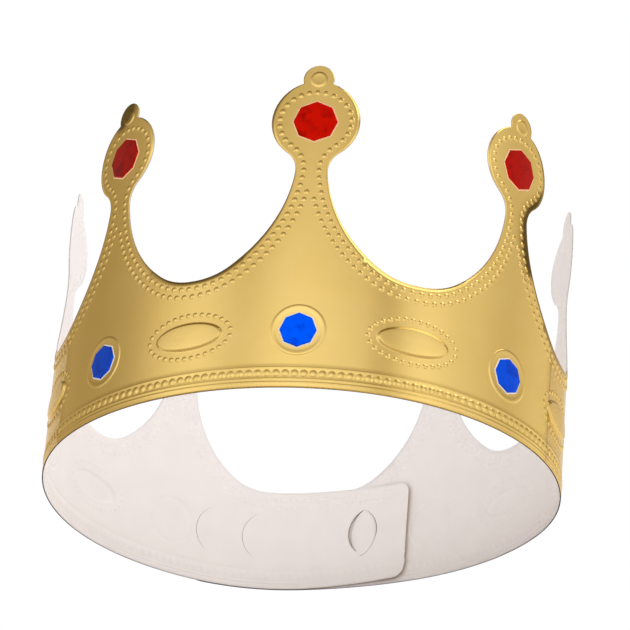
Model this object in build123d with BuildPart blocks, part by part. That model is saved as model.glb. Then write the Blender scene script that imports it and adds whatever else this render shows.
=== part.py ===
from build123d import *
from math import cos, degrees, pi, sin, sqrt
import os

# Paper party crown: one long strip of foil card, curled into a ring and hooked together at the rear.
# Sizes in millimetres, angles in degrees, +Z up. The front point faces -Y.

# The card
cardThickness = 0.4
layerGap = 0.2                   # air between the two layers where the ends overlap
layerStep = cardThickness + layerGap

# The strip, laid flat
pointCount = 7
pointSpacing = 80.0
rearSpacing = 107.0              # between the two rear points, across the overlap
tongueHeight = 40.0
tongueCorner = 4.5
tipClearance = 0.5               # between the tip of a tongue and the ring that it points at
flapLift = 1.8                   # the inner end sits a little askew, so its lower edge rises

# The outline of one point, from the scallop up to the finial
scallopHeight = 43.0
scallopRadius = 21.0
scallopFlat = 0.5                # half of the level stretch at a scallop's lowest spot
flankRadius = 50.0
neckHalfWidth = 5.65
neckRadius = 9.0
headRadius = 15.6
headHeight = 102.7
finialRadius = 5.5
finialRise = 16.4                # from the middle of the head to the middle of the finial
finialHeight = headHeight + finialRise

# Raised work, pressed out from the inside
ridgeHeights = (2.6, 7.4)        # the lines along the lower edge
ridgeHalfWidth = 0.5
ridgeRise = 0.3
ringRadius = 8.6                 # the ring round each blue gem
ringWidth = 0.9
ringSides = 12                   # small round work has as many flat sides as its size needs
bossSides = 8
ovalHalfLength = 13.3
ovalHalfHeight = 5.4
ovalRise = 0.7
ovalSlope = 1.0                  # width of the sloping side of an oval
bossRadius = 2.9                 # the button on each finial
bossRise = 0.4

# Gems, eight-sided stickers with a corner up
redGemRadius = 7.8
redGemHeight = headHeight - 0.5
blueGemRadius = 6.4
gemLine = 21.5                   # height of the blue gems, the ovals and the crescents
gemThickness = 0.5
gemChamfer = 0.2

# Crescent cuts in the overlap, which hook the two ends together
crescentHeight = 18.6
crescentDepth = 5.8
slitWidth = 0.35
hookPlace = 24.4                 # the hooked pair, from the middle of the overlap
slitPlaces = (-36.5, -18.0)      # the two slits that are not in use
hookRamp = 1.2                   # length over which a hooked tab crosses to the other side

# The bend of the card: how much tighter than a true ring each stretch is, counter-clockwise
# from the middle of the overlap. A stretch is the overlap's half, a point with the gap beside it,
# or the short front point.
tightness = (1.51, 1.05, 0.99, 0.91, 0.975, 1.15, 1.11, 0.81, 0.61)

lastPoint = (pointCount - 1) // 2
halfLoop = lastPoint * pointSpacing + rearSpacing / 2
tongueLength = rearSpacing / 2 - ringRadius - ringWidth - tipClearance   # from the middle of the overlap
rearReach = tongueLength + 0.5   # half of the stretch in which the two layers run parallel
totalHeight = finialHeight + finialRadius
tipMargin = 3.0                  # spare card past a tip or a border before the outline is cut


# A stretch of card bent to one radius. Its line is the outer face of the card, seen in plan.
class Stretch:
    def __init__(self, begin, length, radius, x, y, heading):
        self.begin = begin
        self.end = begin + length
        self.radius = radius
        self.heading = heading
        self.centreX = x - radius * sin(heading)
        self.centreY = y + radius * cos(heading)

    def headingAt(self, place):
        return self.heading + (place - self.begin) / self.radius

    # The spot at a distance along the strip, moved outwards from the face
    def spot(self, place, outward=0.0):
        heading = self.headingAt(place)
        reach = self.radius + outward
        return self.centreX + reach * sin(heading), self.centreY - reach * cos(heading)

    # Looking at the card from outside: x along the strip, y up, z outwards
    def facing(self, place, height=0.0, outward=0.0):
        heading = self.headingAt(place)
        x, y = self.spot(place, outward)
        along = (cos(heading), sin(heading), 0)
        return Plane((x, y, height), x_dir=along, z_dir=(sin(heading), -cos(heading), 0))

    # A cut across the strip: x outwards, y up
    def across(self, place):
        heading = self.headingAt(place)
        x, y = self.spot(place)
        outwards = (sin(heading), -cos(heading), 0)
        return Plane((x, y, 0), x_dir=outwards, z_dir=(-cos(heading), -sin(heading), 0))

    def axis(self):
        return Axis((self.centreX, self.centreY, 0), (0, 0, 1))


def stretchBorders():
    oneSide = [(point + 0.25) * pointSpacing for point in range(lastPoint)]
    oneSide += [halfLoop - rearReach, halfLoop]
    return [-border for border in reversed(oneSide)] + oneSide


# The stretches one after another, each starting where the one before it ends.
def layStrip(turns, x, y, heading):
    borders = stretchBorders()
    strip = []
    for begin, end, turn in zip(borders, borders[1:], turns):
        stretch = Stretch(begin, end - begin, (end - begin) / turn, x, y, heading)
        strip.append(stretch)
        x, y = stretch.spot(end)
        heading += turn
    return strip, x, y


# The listed bends, eased front to back and side to side until the far end of the strip
# comes to lie one layer outside its beginning.
def closedTurns():
    borders = stretchBorders()
    lengths = [end - begin for begin, end in zip(borders, borders[1:])]
    middles = [(begin + end) / 2 * pi / halfLoop for begin, end in zip(borders, borders[1:])]

    def eased(frontBack, leftRight):
        bends = []
        for length, tight, middle in zip(lengths, tightness, middles):
            bends.append(length * tight * (1 + frontBack * cos(middle) + leftRight * sin(middle)))
        return [2 * pi * bend / sum(bends) for bend in bends]

    def miss(frontBack, leftRight):
        strip, x, y = layStrip(eased(frontBack, leftRight), 0, 0, pi)
        return x, y - layerStep

    a, b, probe = 0.0, 0.0, 1e-4
    for step in range(8):
        x, y = miss(a, b)
        xa, ya = miss(a + probe, b)
        xb, yb = miss(a, b + probe)
        slopes = (xa - x) * (yb - y) - (xb - x) * (ya - y)
        a -= probe * ((yb - y) * x - (xb - x) * y) / slopes
        b -= probe * ((xa - x) * y - (ya - y) * x) / slopes
    return eased(a, b)


# The ring is turned so that the front point faces -Y, and the middle of its box lies on the origin.
def placedStrip():
    turns = closedTurns()
    strip, x, y = layStrip(turns, 0, 0, pi)
    front = strip[len(strip) // 2].headingAt(0)
    strip, x, y = layStrip(turns, 0, 0, pi - (front - 2 * pi))
    spots = [s.spot(s.begin + (s.end - s.begin) * i / 40) for s in strip for i in range(41)]
    midX = (max(x for x, y in spots) + min(x for x, y in spots)) / 2
    midY = (max(y for x, y in spots) + min(y for x, y in spots)) / 2
    return layStrip(turns, -midX, -midY, pi - (front - 2 * pi))[0]


strip = placedStrip()


def stretchAt(place):
    return next((s for s in strip if place <= s.end), strip[-1])


# Past the middle of the overlap the inner end follows the last stretch one layer inside it,
# and the outer end follows the first stretch one layer outside it.
def innerEnd():
    outer = strip[-1]
    radius = outer.radius - layerStep
    heading = outer.headingAt(halfLoop) - (tongueLength + tipMargin) / radius
    x = outer.centreX + radius * sin(heading)
    y = outer.centreY - radius * cos(heading)
    return Stretch(-halfLoop - tongueLength - tipMargin, tongueLength + tipMargin, radius, x, y, heading)


def outerEnd():
    inner = strip[0]
    x, y = inner.spot(-halfLoop, layerStep)
    return Stretch(halfLoop, tongueLength + tipMargin, inner.radius + layerStep, x, y, inner.heading)


flapStretch = innerEnd()
tongueStretch = outerEnd()


def arcRound(centre, radius, start, end):
    towards = Vector(start) + Vector(end) - Vector(centre) * 2
    return ThreePointArc(start, Vector(centre) + towards.normalized() * radius, end)


# The card cut across, with the ridges along its lower edge.
with BuildSketch() as cardSection:
    with Locations((-cardThickness / 2, totalHeight / 2)):
        Rectangle(cardThickness, totalHeight)
    for height in ridgeHeights:
        with BuildLine():
            Polyline(
                (0, height - ridgeHalfWidth), (ridgeRise, height), (0, height + ridgeHalfWidth),
                close=True,
            )
        make_face()


def turnAbout(stretch, section, begin, end, mode=Mode.ADD):
    turn = degrees((end - begin) / stretch.radius)
    revolve(section.faces(), axis=stretch.axis(), revolution_arc=turn, mode=mode)


# The card itself, bent along a stretch.
def bendCard(stretch, begin, end):
    with BuildSketch(stretch.across(begin)) as section:
        add(cardSection.sketch)
    turnAbout(stretch, section.sketch, begin, end)


# A plain curved sheet along a stretch, between two distances from the card's face.
def bendSheet(stretch, begin, end, inside, outside, low, high, mode=Mode.ADD):
    with BuildSketch(stretch.across(begin)) as section:
        with Locations(((inside + outside) / 2, (low + high) / 2)):
            Rectangle(outside - inside, high - low)
    turnAbout(stretch, section.sketch, begin, end, mode)


# One side of a point's outline, from the card's border over the scallop to the top of the finial, in five
# arcs that touch. The flank's centre is where it touches both the scallop and the neck from inside.
def outlineSide(side, border, gapMiddle, lowest):
    scallop = Vector(gapMiddle - scallopFlat, lowest + scallopRadius)
    neckX = neckHalfWidth + neckRadius
    neck = Vector(neckX, headHeight - sqrt((neckRadius + headRadius) ** 2 - neckX ** 2))
    head = Vector(0, headHeight)
    finial = Vector(0, finialHeight)
    span = (neck - scallop).length
    toScallop = flankRadius - scallopRadius
    toNeck = flankRadius - neckRadius
    along = (toScallop ** 2 - toNeck ** 2 + span ** 2) / (2 * span)
    off = sqrt(toScallop ** 2 - along ** 2)
    step = (neck - scallop).normalized()
    flank = scallop + step * along + Vector(step.Y, -step.X) * off
    scallopEnd = scallop + (scallop - flank).normalized() * scallopRadius
    flankEnd = neck + (neck - flank).normalized() * neckRadius
    neckEnd = neck + (head - neck).normalized() * neckRadius
    joinRise = (headRadius ** 2 - finialRadius ** 2 + finialRise ** 2) / (2 * finialRise)
    join = Vector(sqrt(headRadius ** 2 - joinRise ** 2), headHeight + joinRise)
    edge = side * (border + tipMargin)
    Line((edge, -tipMargin), (edge, lowest))
    Line((edge, lowest), (side * scallop.X, lowest))
    for centre, radius, start, end in (
        (scallop, scallopRadius, Vector(scallop.X, lowest), scallopEnd),
        (flank, flankRadius, scallopEnd, flankEnd),
        (neck, neckRadius, flankEnd, neckEnd),
        (head, headRadius, neckEnd, join),
        (finial, finialRadius, join, Vector(0, totalHeight)),
    ):
        centre, start, end = [Vector(side * spot.X, spot.Y) for spot in (centre, start, end)]
        arcRound(centre, radius, start, end)


# How far to the side of a plane's middle a place on the strip appears.
def seenAt(face, stretch, place):
    x, y = stretch.spot(place)
    return face.to_local_coords(Vector(x, y, 0)).X


# The card at one point, from the scallop before it to the scallop after it.
def cutPoint(point):
    begin = -halfLoop if point == -lastPoint else (point - 0.5) * pointSpacing
    end = halfLoop if point == lastPoint else (point + 0.5) * pointSpacing
    face = stretchAt(point * pointSpacing).facing(point * pointSpacing)
    sides = []
    for side, border in ((-1, begin), (1, end)):
        gapMiddle = (point + side / 2) * pointSpacing
        lowest = tongueHeight if abs(border) == halfLoop else scallopHeight
        seen = [side * seenAt(face, stretchAt(place), place) for place in (border, gapMiddle)]
        sides.append((side, *seen, lowest))
    with BuildPart() as piece:
        for stretch in strip:
            if stretch.end > begin and stretch.begin < end:
                bendCard(stretch, max(stretch.begin, begin), min(stretch.end, end))
        with BuildSketch(face):
            with BuildLine():
                for side in sides:
                    outlineSide(*side)
                Line((-sides[0][1] - tipMargin, -tipMargin), (sides[1][1] + tipMargin, -tipMargin))
            make_face()
        extrude(amount=pointSpacing, both=True, mode=Mode.INTERSECT)
    return piece.part


# A straight end of the strip with rounded corners; the free end may be raised.
def cutTongue(stretch, root, tip, lift):
    begin, end = stretch.begin, stretch.end
    face = stretch.facing((root + tip) / 2)
    rootX, tipX = [seenAt(face, stretch, place) for place in (root, tip)]
    spareX = rootX + (tipMargin if rootX > tipX else -tipMargin)
    with BuildPart() as piece:
        bendCard(stretch, begin, end)
        with BuildSketch(face):
            with BuildLine():
                Polyline(
                    (spareX, -tipMargin), (rootX, -lift / 10), (tipX, lift),
                    (tipX, tongueHeight + lift / 2), (rootX, tongueHeight), (spareX, tongueHeight),
                    close=True,
                )
            make_face()
            corners = [v for v in vertices() if abs(v.X - tipX) < 0.01]
            fillet(corners, tongueCorner)
        extrude(amount=pointSpacing, both=True, mode=Mode.INTERSECT)
    return piece.part


# A crescent seen from outside: a straight hinge and an arc that bulges along the strip.
with BuildSketch() as crescent:
    with BuildLine():
        ThreePointArc((0, -crescentHeight / 2), (crescentDepth, 0), (0, crescentHeight / 2))
        Line((0, crescentHeight / 2), (0, -crescentHeight / 2))
    make_face()

# A slit follows the crescent's arc only.
with BuildSketch() as slit:
    add(crescent.sketch)
    with BuildLine():
        ThreePointArc((-1, -crescentHeight / 2), (crescentDepth - slitWidth, 0), (-1, crescentHeight / 2))
        Line((-1, crescentHeight / 2), (-1, -crescentHeight / 2))
    make_face(mode=Mode.SUBTRACT)


# A tab with its free edge, bent to the layer that it lies on.
def hookTab(place, bulge, outside):
    stretch = strip[-1]
    with BuildPart() as piece:
        bendSheet(
            stretch, place - crescentDepth - 1, place + crescentDepth + 1,
            outside - cardThickness, outside, gemLine - crescentHeight, gemLine + crescentHeight,
        )
        with BuildSketch(stretch.facing(place, gemLine)):
            if bulge > 0:
                add(crescent.sketch)
            else:
                mirror(crescent.sketch, about=Plane.YZ)
        extrude(amount=10, both=True, mode=Mode.INTERSECT)
    return piece.part


# The bent root of a tab: it crosses from its own layer, through the other's opening.
def hookRoot(place, bulge, ownFace, tabFace):
    stretch = strip[-1]
    rootPlace = place - bulge * (hookRamp + 0.3)
    corners = [
        stretch.spot(rootPlace, ownFace), stretch.spot(rootPlace, ownFace - cardThickness),
        stretch.spot(place, tabFace - cardThickness), stretch.spot(place, tabFace),
    ]
    rootHeight = crescentHeight - 2.2
    with BuildPart() as piece:
        with BuildSketch(Plane.XY.offset(gemLine - rootHeight / 2)):
            with BuildLine():
                Polyline(*corners, close=True)
            make_face()
        extrude(amount=rootHeight)
    return piece.part


# A raised ring round a blue gem, kept to the bend of the card.
def raisedRing(place):
    stretch = stretchAt(place)
    reach = ringRadius + ringWidth
    with BuildPart() as piece:
        bendSheet(stretch, place - reach, place + reach, -0.1, ridgeRise, gemLine - reach, gemLine + reach)
        with BuildSketch(stretch.facing(place, gemLine)):
            RegularPolygon(ringRadius + ringWidth / 2, ringSides)
            RegularPolygon(ringRadius - ringWidth / 2, ringSides, mode=Mode.SUBTRACT)
        extrude(amount=3, both=True, mode=Mode.INTERSECT)
    return piece.part


# A raised oval between two points, with sloping sides and a top that follows the card. The seam of its
# sides lies at the end away from the front.
def raisedOval(place, inward):
    stretch = stretchAt(place)
    deep = 1.5
    grow = ovalSlope / ovalRise
    seam = 0 if place > 0 else 180
    with BuildPart() as piece:
        for outward in (-deep, ovalRise):
            with BuildSketch(stretch.facing(place, gemLine, outward - inward)):
                Ellipse(ovalHalfLength - outward * grow, ovalHalfHeight - outward * grow, rotation=seam)
        loft()
        reach = ovalHalfLength + 3
        bendSheet(
            stretch, max(stretch.begin, place - reach), min(stretch.end, place + reach),
            -inward - 0.1, -inward + ovalRise, gemLine - reach, gemLine + reach, mode=Mode.INTERSECT,
        )
    return piece.part


with BuildPart() as crownBand:
    for point in range(-lastPoint, lastPoint + 1):
        add(cutPoint(point))
    add(cutTongue(flapStretch, -halfLoop, -halfLoop - tongueLength, flapLift))
    add(cutTongue(tongueStretch, halfLoop, halfLoop + tongueLength, 0))

    # Rings and finial buttons stand out in front, and the ovals are hollow behind
    for point in range(-lastPoint, lastPoint + 1):
        place = point * pointSpacing
        add(raisedRing(place))
        with BuildSketch(stretchAt(place).facing(place, finialHeight, -0.1)):
            RegularPolygon(bossRadius, bossSides)
        extrude(amount=bossRise + 0.1)
    for gap in range(-lastPoint, lastPoint):
        add(raisedOval((gap + 0.5) * pointSpacing, 0))
        add(raisedOval((gap + 0.5) * pointSpacing, cardThickness), mode=Mode.SUBTRACT)

    # The slits that are not in use: thin curved cuts through the inner layer
    for place in slitPlaces:
        inner = strip[0] if place < 0 else flapStretch
        with BuildSketch(inner.facing(-halfLoop - place, gemLine, -2)):
            add(slit.sketch)
        extrude(amount=2 + layerGap / 2, mode=Mode.SUBTRACT)

    # The hooked pair: each end has an opening, and its tab passes through the other's and lies behind it
    place = halfLoop - hookPlace
    hooked = strip[-1]
    mirrored = mirror(crescent.sketch, about=Plane.YZ, mode=Mode.PRIVATE)
    with BuildSketch(hooked.facing(place, gemLine, -cardThickness - layerGap / 2)):
        add(mirrored)
    extrude(amount=2, mode=Mode.SUBTRACT)
    with BuildSketch(hooked.facing(place, gemLine, -cardThickness - layerGap / 2)):
        add(crescent.sketch)
    extrude(amount=-2, mode=Mode.SUBTRACT)
    add(hookTab(place, 1, layerStep))
    add(hookRoot(place, 1, -layerStep, layerStep))
    add(hookTab(place, -1, -2 * layerStep))
    add(hookRoot(place, -1, 0, -2 * layerStep))
crownBand.part.label = "crown_band"


# A gem: eight flat sides with a bevelled rim, bent to the card that it is stuck on.
def cutGem(place, radius, height):
    stretch = stretchAt(place)
    with BuildPart() as gem:
        reach = radius + 1
        bendSheet(stretch, place - reach, place + reach, 0, gemThickness, height - reach, height + reach)
        with BuildSketch(stretch.facing(place, height)):
            RegularPolygon(radius, 8)
        extrude(amount=3, both=True, mode=Mode.INTERSECT)
        outwards = stretch.facing(place).z_dir
        front = max(gem.faces(), key=lambda face: face.area * face.normal_at().dot(outwards))
        chamfer(front.edges(), gemChamfer)
    return gem.part


gems = []
for point in range(-lastPoint, lastPoint + 1):
    for colour, radius, height in (("red", redGemRadius, redGemHeight), ("blue", blueGemRadius, gemLine)):
        gem = cutGem(point * pointSpacing, radius, height)
        gem.label = f"{colour}_gem_{point + lastPoint + 1}"
        gems.append(gem)

os.makedirs("parts", exist_ok=True)
export_step(crownBand.part, "parts/crown_band.step")
for gem in gems:
    export_step(gem, f"parts/{gem.label}.step")
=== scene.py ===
import bpy
import numpy as np
from mathutils import Matrix


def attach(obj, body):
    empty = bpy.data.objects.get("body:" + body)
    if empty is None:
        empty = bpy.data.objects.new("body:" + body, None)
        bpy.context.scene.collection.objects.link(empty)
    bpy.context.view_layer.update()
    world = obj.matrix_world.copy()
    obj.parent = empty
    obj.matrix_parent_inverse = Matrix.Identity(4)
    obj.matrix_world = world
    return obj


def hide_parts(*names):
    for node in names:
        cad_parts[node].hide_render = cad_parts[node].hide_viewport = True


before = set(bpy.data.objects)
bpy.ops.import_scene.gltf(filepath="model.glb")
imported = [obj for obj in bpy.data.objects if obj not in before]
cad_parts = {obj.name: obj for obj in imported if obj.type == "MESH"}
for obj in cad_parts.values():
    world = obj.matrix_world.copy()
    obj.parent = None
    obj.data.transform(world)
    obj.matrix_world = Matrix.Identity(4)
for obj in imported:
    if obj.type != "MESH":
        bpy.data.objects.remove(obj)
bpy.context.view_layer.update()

# Everything is worked out in millimetres along the strip of card and turned to metres when a mesh is made.
# "place" runs along the strip from 0 at the front point, "height" up from the lower edge, and
# "outward" away from the card's outer face.

band = {
    "points": 7,
    "spacing": 80.0,
    "rearSpacing": 107.0,
    "tongue": 43.5,            # from the middle of the overlap to each tip
    "tongueHeight": 40.0,
    "tongueCorner": 4.5,
    "flapLift": 1.8,           # the inner end sits askew by this much
    "flapCurl": 1.0,           # and its free end stands off a little
    "curlHeight": 110.5,       # the rearmost points' tips curl out above here
    "curlRadius": 22.0,
    "thickness": 0.4,
    "layerStep": 0.6,
    "tightness": (1.51, 1.05, 0.99, 0.91, 0.975, 1.15, 1.11, 0.81, 0.61),
    "flatSpan": 680.0,         # the UV map lays the strip flat, and this length is one unit of it
}

lastPoint = (band["points"] - 1) // 2
halfLoop = lastPoint * band["spacing"] + band["rearSpacing"] / 2
tipPlace = halfLoop + band["tongue"]


# Stretches of constant bend follow each other, each an arc: x steps by radius * (sin end - sin start) and
# y by radius * (cos start - cos end).
def layStretches(lengths, bends, start):
    headings = start + np.concatenate([[0.0], np.cumsum(bends)])
    radii = lengths / bends
    stepX = radii * (np.sin(headings[1:]) - np.sin(headings[:-1]))
    stepY = -radii * (np.cos(headings[1:]) - np.cos(headings[:-1]))
    x = np.concatenate([[0.0], np.cumsum(stepX)])
    y = np.concatenate([[0.0], np.cumsum(stepY)])
    return headings, radii, x, y


# The bends are eased front to back and side to side until the far end lies one layer outside the beginning:
# bend = length * tightness * (1 + a cos m + b sin m), with m the stretch's middle as an angle round the loop.
def bentStrip():
    side = [(i + 0.25) * band["spacing"] for i in range(lastPoint)]
    side += [halfLoop - band["tongue"] - 0.5, halfLoop]
    borders = np.array([-b for b in reversed(side)] + side)
    lengths = np.diff(borders)
    middles = (borders[1:] + borders[:-1]) / 2 * np.pi / halfLoop
    tight = np.array(band["tightness"])

    def eased(ab):
        bends = lengths * tight * (1 + ab[0] * np.cos(middles) + ab[1] * np.sin(middles))
        return 2 * np.pi * bends / bends.sum()

    def miss(ab):
        x, y = layStretches(lengths, eased(ab), np.pi)[2:]
        return np.array([x[-1], y[-1] - band["layerStep"]])

    ab = np.zeros(2)
    probe = 1e-4
    for step in range(8):
        here = miss(ab)
        slopes = np.stack([(miss(ab + probe * e) - here) / probe for e in np.eye(2)], axis=1)
        ab = ab - np.linalg.solve(slopes, here)
    bends = eased(ab)
    front = np.searchsorted(borders, 0.0) - 1
    start = -(bends[:front].sum() + bends[front] * (0.0 - borders[front]) / lengths[front])
    headings, radii, x, y = layStretches(lengths, bends, start)
    centreX = x[:-1] - radii * np.sin(headings[:-1])
    centreY = y[:-1] + radii * np.cos(headings[:-1])
    begins = borders[:-1]
    headings = headings[:-1]

    # the inner end goes on one layer inside the last stretch, the outer end one layer outside the first
    tongue = band["tongue"] + 3
    inner = radii[-1] - band["layerStep"]
    endHeading = headings[-1] + lengths[-1] / radii[-1] - 2 * np.pi
    outer = radii[0] + band["layerStep"]
    table = np.stack([begins, radii, headings, centreX, centreY], axis=1)
    first = [-halfLoop - tongue, inner, endHeading - tongue / inner, centreX[-1], centreY[-1]]
    last = [halfLoop, outer, headings[0] + 2 * np.pi, centreX[0], centreY[0]]
    table = np.vstack([first, table, last])

    places = np.linspace(-halfLoop, halfLoop, 2001)
    spots = alongTable(table, places, 0.0)
    table[:, 3] -= (spots[0].max() + spots[0].min()) / 2
    table[:, 4] -= (spots[1].max() + spots[1].min()) / 2
    return table


# A spot on the stretch that holds the place: centre + (radius + outward) * (sin turn, -cos turn).
def alongTable(table, place, outward):
    row = np.clip(np.searchsorted(table[:, 0], place, side="right") - 1, 0, len(table) - 1)
    begin, radius, heading, centreX, centreY = np.moveaxis(table[row], -1, 0)
    turned = heading + (place - begin) / radius
    reach = radius + outward
    return centreX + reach * np.sin(turned), centreY - reach * np.cos(turned), turned


stripTable = bentStrip()
print("strip laid out, loop", round(2 * halfLoop, 1), "mm")


# Round corners squeeze the ends: height = cut + height * (tall - 2 cut) / tall, with cut = r - sqrt(r^2 - past^2).
# The inner end rises by lift * share of its length * (1 - height / (2 tall)).
def leanedHeight(place, height):
    corner = band["tongueCorner"]
    past = np.clip(np.abs(place) - (tipPlace - corner), 0, corner * 0.999)
    cut = corner - np.sqrt(corner ** 2 - past ** 2)
    flap = np.clip((-halfLoop - place) / band["tongue"], 0, 1)
    tall = band["tongueHeight"]
    squeezed = cut + height * (tall - 2 * cut) / tall
    return np.where(np.abs(place) > halfLoop, squeezed, height) + band["flapLift"] * flap * (1 - height / tall / 2)


# A place, height and outward distance on the strip to a point in metres.
# The tips of the two rearmost points curl out on an arc: out = r * (1 - cos(up / r)), rise = r * sin(up / r).
def onCard(place, height, outward=0.0):
    place, height, outward = np.broadcast_arrays(np.asarray(place, float), height, outward)
    flap = np.clip((-halfLoop - place) / band["tongue"], 0, 1)
    curled = np.abs(np.abs(place) - lastPoint * band["spacing"]) < band["spacing"] / 4
    up = np.where(curled, np.clip(height - band["curlHeight"], 0, None), 0)
    turn = up / band["curlRadius"]
    out = band["curlRadius"] * (1 - np.cos(turn)) + outward * np.cos(turn)
    drop = up - band["curlRadius"] * np.sin(turn) + outward * np.sin(turn)
    x, y = alongTable(stripTable, place, out - band["flapCurl"] * flap ** 3)[:2]
    return np.stack([x, y, leanedHeight(place, height) - drop], axis=-1) / 1000


outline = {
    "scallopHeight": 43.0,
    "scallopRadius": 21.0,
    "scallopFlat": 0.5,
    "flankRadius": 50.0,
    "neckHalfWidth": 5.65,
    "neckRadius": 9.0,
    "headRadius": 15.6,
    "headHeight": 102.7,
    "finialRadius": 5.5,
    "finialRise": 16.4,
    "cells": (80, 120, 7, 16, 9),   # steps along each arc, from scallop to finial
    "flankRows": 17,
    "columnTop": 49.0,              # columns of mesh stay upright to this height
}


# Five arcs that touch: spot = centre + radius * (cos turn, sin turn). Offsets move along the radius.
def outlineArcs(gapMiddle, lowest):
    o = outline
    scallop = np.array([gapMiddle - o["scallopFlat"], lowest + o["scallopRadius"]])
    neckX = o["neckHalfWidth"] + o["neckRadius"]
    reach = o["neckRadius"] + o["headRadius"]
    neck = np.array([neckX, o["headHeight"] - np.sqrt(reach ** 2 - neckX ** 2)])
    head = np.array([0.0, o["headHeight"]])
    finial = head + (0.0, o["finialRise"])
    span = np.linalg.norm(neck - scallop)
    toScallop = o["flankRadius"] - o["scallopRadius"]
    toNeck = o["flankRadius"] - o["neckRadius"]
    along = (toScallop ** 2 - toNeck ** 2 + span ** 2) / (2 * span)
    off = np.sqrt(toScallop ** 2 - along ** 2)
    step = (neck - scallop) / span
    flank = scallop + step * along + np.array([step[1], -step[0]]) * off
    joinRise = (o["headRadius"] ** 2 - o["finialRadius"] ** 2 + o["finialRise"] ** 2) / (2 * o["finialRise"])
    join = np.array([np.sqrt(o["headRadius"] ** 2 - joinRise ** 2), o["headHeight"] + joinRise])

    def turnOf(centre, towards):
        return np.arctan2(towards[1] - centre[1], towards[0] - centre[0])

    toFlank = turnOf(flank, scallop) - 2 * np.pi * (turnOf(flank, scallop) > 0)
    flankToNeck = turnOf(flank, neck) - 2 * np.pi * (turnOf(flank, neck) > 0)
    neckToHead = turnOf(neck, head) - 2 * np.pi
    return (
        (scallop, o["scallopRadius"], -np.pi / 2, toFlank, 1),
        (flank, o["flankRadius"], toFlank, flankToNeck, 1),
        (neck, o["neckRadius"], flankToNeck, neckToHead, 1),
        (head, o["headRadius"], turnOf(head, neck), turnOf(head, join), -1),
        (finial, o["finialRadius"], turnOf(finial, join), np.pi / 2 * 0.985, -1),
    )


# Seen square on, a place beside a point appears nearer than it is along the strip:
# seen = (spot - the point's middle) along the strip's direction there.
def squareOn(point):
    middle = point * band["spacing"]
    reach = band["spacing"] / 2 + 22
    places = np.linspace(middle - reach, middle + reach, 600)
    x, y = alongTable(stripTable, places, 0.0)[:2]
    midX, midY, midTurn = alongTable(stripTable, np.array(middle), 0.0)
    seen = (x - midX) * np.cos(midTurn) + (y - midY) * np.sin(midTurn)
    return places, seen


# For one side of a point: its arcs, a function from a distance seen square on to a place, and its lowest height.
def pointSide(point, side):
    places, seen = squareOn(point)
    gap = (point + side / 2) * band["spacing"]
    gapSeen = side * np.interp(gap, places, seen)
    rear = abs(point) == lastPoint and side * point > 0
    lowest = band["tongueHeight"] if rear else outline["scallopHeight"]
    arcs = outlineArcs(gapSeen, lowest)

    def toPlace(x):
        return np.interp(side * x, seen, places)

    return arcs, toPlace, lowest


# The edge of a point in two parts: fine steps up the scallop and flank, then the rows round neck, head and finial.
# Each spot is centre + radius * (cos turn, sin turn) on its arc.
def pointEdge(point, side):
    arcs, toPlace, lowest = pointSide(point, side)
    parts = []
    for (centre, radius, start, end, away), cells in zip(arcs, outline["cells"]):
        turn = np.linspace(start, end, cells + 1)[1:]
        parts.append((centre[0] + radius * np.cos(turn), centre[1] + radius * np.sin(turn)))
    low = [np.concatenate(a) for a in zip(*parts[:2])]
    high = [np.concatenate(a) for a in zip(*parts[2:])]
    gap = (point + side / 2) * band["spacing"]
    lowPlace = np.concatenate([[gap], toPlace(low[0])])
    return lowPlace, np.concatenate([[lowest], low[1]]), toPlace(high[0]), high[1]


# Edges of the card that were rolled back in the packet: place, height, size and upward tilt of each spot.
rolled = {
    "spots": (
        (89.2, 67, 2.4, 0.6), (87.4, 72, 2.4, 0.7), (86.4, 77, 2.4, 0.75), (86.2, 83, 2.3, 0.75),
        (88.4, 88, 2.4, 0.75), (92.4, 92, 2.3, 0.75), (95.4, 97, 1.8, 0.7),
        (-81.5, 122.5, 2.8, 1.0), (-84.5, 118.5, 2.0, 0.8),
    ),
}


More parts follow.
